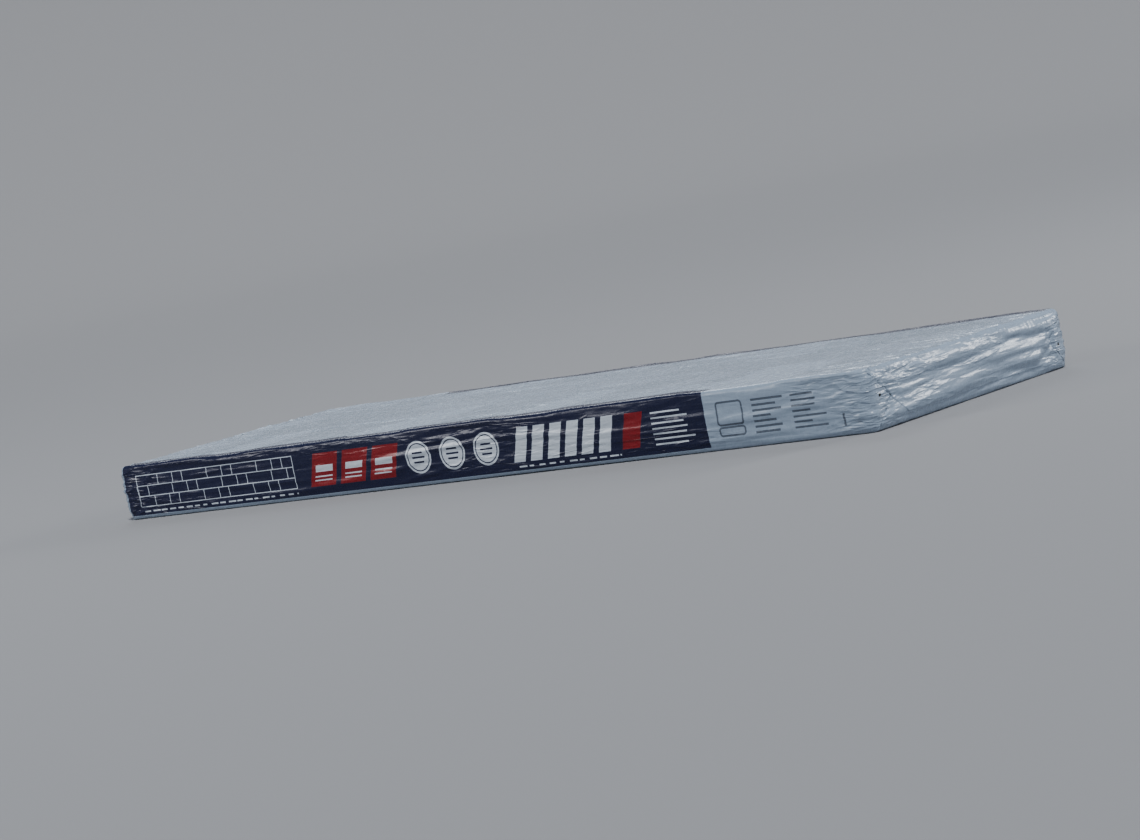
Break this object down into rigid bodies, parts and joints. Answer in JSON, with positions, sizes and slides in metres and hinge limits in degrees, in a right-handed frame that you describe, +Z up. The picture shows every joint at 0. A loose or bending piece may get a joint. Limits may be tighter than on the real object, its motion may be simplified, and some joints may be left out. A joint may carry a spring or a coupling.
{
  "type": "asphalt shingle bundle",
  "caption": "Flat rectangular bundle of laminated asphalt roof shingles, nested back to back and sealed in a folded plastic film wrapper.",
  "frame": {"origin": "centre of the underside", "axes": "+X along the shingles' length, +Y across them, +Z up; the bundle lies flat"},
  "size_m": [1.0058, 0.3422, 0.0588],
  "materials": {
    "wrapper_film": "semi-gloss polyethylene film",
    "shingle": "mineral granules on asphalt"
  },
  "bodies": {
    "root": {"wrapper_film": "wrapper_film", "shingles_face_up": "shingle", "shingles_face_down": "shingle"}
  },
  "joints": []
}
